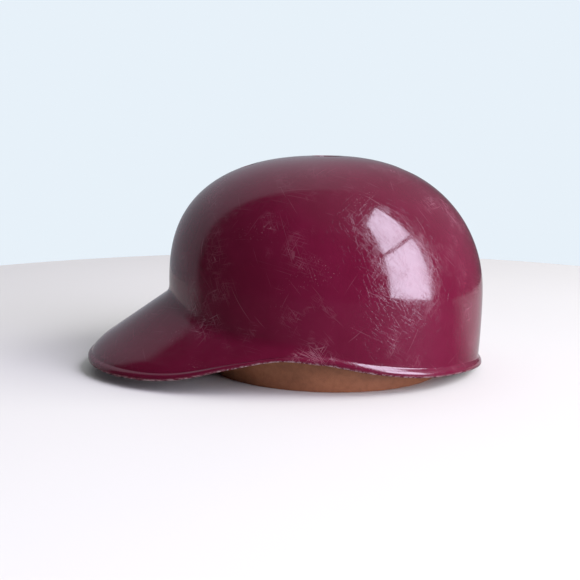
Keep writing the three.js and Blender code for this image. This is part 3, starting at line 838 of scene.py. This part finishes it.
def thread_piece(name, routes, slot):
    """All the stitches of one seam, as one piece."""
    points = []
    faces = []
    for route in routes:
        stitch_run(points, faces, route)
    mesh = bpy.data.meshes.new(name)
    mesh.from_pydata([tuple(p * MM) for p in points], [], faces)
    made = bpy.data.objects.new(name, mesh)
    bpy.context.scene.collection.objects.link(made)
    tidy_normals(made, 60)
    finish_piece(made, slot, thread())


def rectangle(from_degrees, to_degrees, bottom, top, inset):
    """The four sides of a patch on the leather, as routes."""
    low, high = math.radians(from_degrees), math.radians(to_degrees)
    return [
        [(low, z, inset) for z in np.linspace(bottom, top, 40)],
        [(high, z, inset) for z in np.linspace(bottom, top, 40)],
        [(phi, bottom, inset) for phi in np.linspace(low, high, 20)],
        [(phi, top, inset) for phi in np.linspace(low, high, 20)],
    ]


def make_stitching():
    """Stitches along the tape and round the seam tab and the label."""
    height = BAND_TOP - BINDING_STITCH_DROP
    ring = [(phi, height, TAPE_INNER) for phi in np.linspace(0, TURN, AROUND + 1)]
    thread_piece("binding_stitches", [ring], "tape")
    face = LEATHER_INNER + GAP
    across = TAB_HALF_ANGLE - 1
    tab = rectangle(180 - across, 180 + across, TAB_BOTTOM + 2.5, TAB_TOP - 2, face + TAB_THICKNESS)
    thread_piece("seam_tab_stitches", tab, "leather")
    label = rectangle(
        LABEL_START + 0.8, LABEL_END - 0.8, LABEL_BOTTOM + 1.2, LABEL_TOP - 1.2, face + LABEL_THICKNESS,
    )
    thread_piece("label_stitches", label, "label")


def make_rivets():
    """Four rivets with domed heads through the splice and the headband."""
    metal = brass()
    depth = SPLICE_THICKNESS + GAP + HEADBAND_THICKNESS
    rise = RIVET_HEAD_HEIGHT - RIVET_HEAD_RIM
    dome = [
        (RIVET_HEAD_RADIUS * math.cos(a), GAP + RIVET_HEAD_RIM + rise * math.sin(a))
        for a in np.linspace(0, math.pi / 2, 8)[:-1]
    ]
    under = RIVET_HEAD_RADIUS - RIVET_HEAD_CHAMFER
    profile = [(RIVET_RADIUS, -depth), (RIVET_RADIUS, GAP), (under, GAP), *dome]
    for side, angle in RIVET_ANGLES.items():
        for level, height in RIVET_HEIGHTS.items():
            phi = math.radians(angle)
            seat = upright_place(phi, height, SPLICE_OUTER)
            out = seat - upright_place(phi, height, SPLICE_OUTER + 1)
            top = GAP + RIVET_HEAD_HEIGHT
            rivet = turned_object(
                f"rivet_{side}_{level}", profile, RIVET_SEGMENTS, -depth, top, seat, out,
            )
            finish_piece(rivet, "rivet_brass", metal, f"splice_rivet_{side}_{level}")


# ---- Materials ----------------------------------------------------------------------------------
def new_material(name, roughness=0.5, **values):
    """A material, its node tree and its Principled shader, with plain values on its own sockets."""
    material = bpy.data.materials.new(name)
    material.use_nodes = True
    tree = material.node_tree
    shader = tree.nodes["Principled BSDF"]
    shader.inputs["Roughness"].default_value = roughness
    for key, value in values.items():
        shader.inputs[key.replace("_", " ")].default_value = value
    return material, tree, shader


def node(tree, kind, inputs=(), **settings):
    """A shader node. An input is a number, a colour, or a socket to link from."""
    made = tree.nodes.new("ShaderNode" + kind)
    for key, value in settings.items():
        setattr(made, key, value)
    for key, value in dict(inputs).items():
        if isinstance(value, bpy.types.NodeSocket):
            tree.links.new(value, made.inputs[key])
        else:
            made.inputs[key].default_value = value
    return made


def place(tree):
    """Object coordinates, in metres."""
    return node(tree, "TexCoord").outputs["Object"]


def noise(tree, vector, scale, detail=2.0, roughness=0.5):
    """Smooth noise, 0 to 1."""
    inputs = {"Vector": vector, "Scale": scale, "Detail": detail, "Roughness": roughness}
    return node(tree, "TexNoise", inputs).outputs["Fac"]


def remap(tree, value, low, high, to_low=0.0, to_high=1.0):
    """A value carried from one range to another, and held inside it."""
    inputs = {0: value, 1: low, 2: high, 3: to_low, 4: to_high}
    return node(tree, "MapRange", inputs).outputs[0]


def maths(tree, operation, a, b):
    """One arithmetic step on two values."""
    return node(tree, "Math", {0: a, 1: b}, operation=operation).outputs[0]


def mix(tree, share, a, b):
    """Colours a and b, each an (r, g, b) or a socket, mixed by share."""
    a, b = ((*c, 1) if isinstance(c, tuple) else c for c in (a, b))
    made = node(tree, "Mix", {0: share, 6: a, 7: b}, data_type="RGBA")
    return made.outputs[2]


def bump(tree, height, distance, strength=1.0, normal=None):
    """A normal bent by a height in metres, on top of an earlier one."""
    inputs = {"Height": height, "Distance": distance, "Strength": strength}
    if normal is not None:
        inputs["Normal"] = normal
    return node(tree, "Bump", inputs).outputs["Normal"]


HAIRLINE_TURNS = [
    (0.0, 0.35, 0.1), (0.2, -0.6, 0.4), (0.5, 1.2, 0.0), (1.1, 0.2, 0.7), (0.1, 0.9, -0.9), (0, 2.1, 1.3),
]
HAIRLINE_EDGE = 0.07  # how quickly a scratch fades across its width


def hairlines(tree, where, across, along, sparse):
    """Fine straight scratches in several directions, 0 to 1."""
    total = None
    for i, turn in enumerate(HAIRLINE_TURNS):
        turned = node(tree, "Mapping", {"Vector": where, "Rotation": turn}).outputs[0]
        offset = (7.3 * i, 1.7 * i, 3.1 * i)
        inputs = {"Vector": turned, "Location": offset, "Scale": (across, along, along)}
        streaks = noise(tree, node(tree, "Mapping", inputs).outputs[0], 1.0, 0.0)
        lines = remap(tree, streaks, sparse, sparse + HAIRLINE_EDGE)
        total = lines if total is None else maths(tree, "MAXIMUM", total, lines)
    return total


def shell_plastic():
    """Glossy maroon plastic, hairline-scratched and scuffed in patches, worn pale along its lip."""
    material, tree, shader = new_material("maroon_plastic", IOR=1.5, Coat_Weight=0.35, Coat_Roughness=0.04)
    where = place(tree)
    patches = remap(tree, noise(tree, where, 30, 3, 0.6), 0.52, 0.74)
    clustered = maths(tree, "MULTIPLY", hairlines(tree, where, 2400, 90, 0.68), patches)
    scattered = maths(tree, "MULTIPLY", hairlines(tree, where, 1900, 34, 0.81), 0.5)
    lines = maths(tree, "MAXIMUM", clustered, scattered)
    rubbed = maths(tree, "MULTIPLY", hairlines(tree, where, 2400, 80, 0.70), 0.4)
    specks = remap(tree, noise(tree, where, 900, 2, 0.7), 0.64, 0.72)
    scuffs = maths(tree, "MULTIPLY", specks, remap(tree, noise(tree, where, 38, 2), 0.56, 0.72))
    haze = remap(tree, noise(tree, where, 14, 4, 0.65), 0.4, 0.75)
    wear = node(tree, "Attribute", attribute_name="edge_wear").outputs["Fac"]
    chipped = maths(tree, "MULTIPLY", wear, remap(tree, noise(tree, where, 420, 3, 0.7), 0.42, 0.6))
    base = mix(tree, haze, (0.086, 0.0034, 0.017), (0.112, 0.0058, 0.025))
    base = mix(tree, maths(tree, "MULTIPLY", lines, 0.22), base, (0.46, 0.24, 0.28))
    base = mix(tree, maths(tree, "MULTIPLY", scuffs, 0.4), base, (0.50, 0.30, 0.32))
    base = mix(tree, maths(tree, "MULTIPLY", chipped, 0.5), base, (0.62, 0.50, 0.49))
    tree.links.new(base, shader.inputs["Base Color"])
    dull = maths(tree, "MAXIMUM", lines, scuffs)
    rough = maths(tree, "ADD", remap(tree, haze, 0, 1, 0.07, 0.15), maths(tree, "MULTIPLY", dull, 0.3))
    rough = maths(tree, "ADD", rough, maths(tree, "MULTIPLY", chipped, 0.4))
    tree.links.new(rough, shader.inputs["Roughness"])
    swell = bump(tree, noise(tree, where, 60, 1), 0.00005)
    depth = maths(tree, "ADD", maths(tree, "MAXIMUM", dull, rubbed), chipped)
    cuts = maths(tree, "SUBTRACT", 0.0, depth)
    scratched = bump(tree, cuts, 0.00004, 1.0, swell)
    tree.links.new(scratched, shader.inputs["Normal"])
    tree.links.new(scratched, shader.inputs["Coat Normal"])
    return material


def shell_inside():
    """The same plastic as moulded inside: duller, with a fine grain and flow marks."""
    material, tree, shader = new_material("maroon_plastic_inside")
    where = place(tree)
    flow = noise(tree, node(tree, "Mapping", {"Vector": where, "Scale": (14, 14, 60)}).outputs[0], 1.0, 3)
    base = mix(tree, remap(tree, flow, 0.35, 0.7), (0.085, 0.006, 0.024), (0.13, 0.012, 0.038))
    tree.links.new(base, shader.inputs["Base Color"])
    tree.links.new(remap(tree, flow, 0.3, 0.7, 0.34, 0.5), shader.inputs["Roughness"])
    tree.links.new(bump(tree, noise(tree, where, 1100, 2), 0.00006), shader.inputs["Normal"])
    return material


def leather():
    """Tan leather with a fine pore grain, darker where it has been handled."""
    material, tree, shader = new_material("tan_leather", Specular_IOR_Level=0.4)
    where = place(tree)
    pores = node(tree, "TexVoronoi", {"Vector": where, "Scale": 1150, "Randomness": 1.0}).outputs["Distance"]
    stain = remap(tree, noise(tree, where, 22, 4, 0.6), 0.35, 0.7)
    fleck = remap(tree, noise(tree, where, 260, 3, 0.6), 0.4, 0.7)
    base = mix(tree, stain, (0.33, 0.130, 0.060), (0.235, 0.088, 0.038))
    base = mix(tree, maths(tree, "MULTIPLY", fleck, 0.3), base, (0.10, 0.034, 0.013))
    base = mix(tree, remap(tree, pores, 0.0, 0.25, 0.35, 0.0), base, (0.06, 0.022, 0.010))
    tree.links.new(base, shader.inputs["Base Color"])
    tree.links.new(remap(tree, stain, 0, 1, 0.42, 0.58), shader.inputs["Roughness"])
    creases = bump(tree, noise(tree, where, 180, 4, 0.6), 0.00014)
    tree.links.new(bump(tree, pores, 0.00009, 1.0, creases), shader.inputs["Normal"])
    return material


def foam_rubber():
    """Aged cream foam with open cells."""
    material, tree, shader = new_material("cream_foam", 0.95, Specular_IOR_Level=0.15)
    where = place(tree)
    cells = node(tree, "TexVoronoi", {"Vector": where, "Scale": 620, "Randomness": 1.0}).outputs["Distance"]
    aged = remap(tree, noise(tree, where, 30, 4, 0.6), 0.35, 0.7)
    base = mix(tree, aged, (0.60, 0.50, 0.30), (0.47, 0.35, 0.17))
    base = mix(tree, remap(tree, cells, 0.15, 0.42, 0.0, 0.55), (0.27, 0.19, 0.09), base)
    tree.links.new(mix(tree, remap(tree, cells, 0.0, 0.5, 0.5, 0.0), base, (0.2, 0.14, 0.06)),
                   shader.inputs["Base Color"])
    tree.links.new(bump(tree, cells, 0.0005), shader.inputs["Normal"])
    return material


def fibre_sheet():
    """Brown pressed-fibre sheet with a faint mottled nap."""
    material, tree, shader = new_material("pressed_fibre", 0.8)
    where = place(tree)
    nap = noise(tree, node(tree, "Mapping", {"Vector": where, "Scale": (1, 1, 3)}).outputs[0], 480, 4, 0.7)
    base = mix(tree, remap(tree, nap, 0.35, 0.65), (0.085, 0.060, 0.042), (0.045, 0.032, 0.024))
    tree.links.new(base, shader.inputs["Base Color"])
    tree.links.new(remap(tree, nap, 0.3, 0.7, 0.7, 0.88), shader.inputs["Roughness"])
    tree.links.new(bump(tree, nap, 0.00015), shader.inputs["Normal"])
    return material


def woven(name, warp, weft, thread_width):
    """Cloth woven round the head: warp threads run round it and weft threads cross them."""
    material, tree, shader = new_material(name, 0.88, Sheen_Weight=0.25)
    where = place(tree)
    split = node(tree, "SeparateXYZ", {0: where})
    forward = maths(tree, "SUBTRACT", split.outputs[0], CENTRE_X * MM)
    angle = maths(tree, "ARCTAN2", split.outputs[1], forward)
    round_ = maths(tree, "MULTIPLY", angle, TURN * 90 / thread_width)
    up = maths(tree, "MULTIPLY", split.outputs[2], TURN / (thread_width * MM))
    weave = maths(tree, "MULTIPLY", maths(tree, "SINE", round_, 0.0), maths(tree, "SINE", up, 0.0))
    shade = remap(tree, weave, -0.8, 0.8)
    fuzz = noise(tree, where, 900, 3, 0.7)
    tree.links.new(mix(tree, maths(tree, "MULTIPLY", shade, fuzz), warp, weft), shader.inputs["Base Color"])
    tree.links.new(remap(tree, fuzz, 0.3, 0.7, 0.78, 0.95), shader.inputs["Roughness"])
    tree.links.new(bump(tree, weave, 0.00012), shader.inputs["Normal"])
    return material


def knitted_lining():
    """Dark knitted cloth: rows of small loops, with a soft nap."""
    material, tree, shader = new_material("dark_knit", 0.9, Sheen_Weight=0.35)
    where = place(tree)
    split = node(tree, "SeparateXYZ", {0: where})
    ribs = maths(tree, "SINE", maths(tree, "MULTIPLY", split.outputs[1], TURN / (1.6 * MM)), 0.0)
    slant = maths(tree, "ADD", maths(tree, "MULTIPLY", split.outputs[0], TURN / (1.2 * MM)),
                  maths(tree, "MULTIPLY", ribs, 1.1))
    loops = maths(tree, "MULTIPLY", maths(tree, "SINE", slant, 0.0), ribs)
    fuzz = noise(tree, where, 800, 3, 0.7)
    base = mix(tree, remap(tree, loops, -0.8, 0.8), (0.016, 0.014, 0.014), (0.060, 0.054, 0.050))
    tree.links.new(mix(tree, maths(tree, "MULTIPLY", fuzz, 0.4), base, (0.09, 0.083, 0.078)),
                   shader.inputs["Base Color"])
    tree.links.new(bump(tree, loops, 0.0002), shader.inputs["Normal"])
    return material


def thread():
    """Waxed linen thread with a fine twist."""
    material, tree, shader = new_material("waxed_thread", 0.55)
    where = place(tree)
    waves = {"Vector": where, "Scale": 700, "Distortion": 1.0}
    twist = node(tree, "TexWave", waves, bands_direction="DIAGONAL")
    base = mix(tree, twist.outputs["Fac"], (0.42, 0.30, 0.17), (0.60, 0.48, 0.31))
    tree.links.new(base, shader.inputs["Base Color"])
    tree.links.new(bump(tree, twist.outputs["Fac"], 0.00008), shader.inputs["Normal"])
    return material


def brass():
    """Dull brass with fine tarnish."""
    material, tree, shader = new_material("dull_brass", Metallic=1.0)
    where = place(tree)
    tarnish = noise(tree, where, 700, 4, 0.65)
    base = mix(tree, remap(tree, tarnish, 0.4, 0.65), (0.62, 0.43, 0.19), (0.30, 0.20, 0.10))
    tree.links.new(base, shader.inputs["Base Color"])
    tree.links.new(remap(tree, tarnish, 0.35, 0.65, 0.24, 0.5), shader.inputs["Roughness"])
    tree.links.new(bump(tree, tarnish, 0.00003), shader.inputs["Normal"])
    return material


# ---- The scene ----------------------------------------------------------------------------------
make_camera()
make_stage()
light_scene()
make_shell()
foam = foam_rubber()
make_crown_pad(foam, knitted_lining())
make_pads(foam)
make_bands()
make_binding()
make_stitching()
make_rivets()
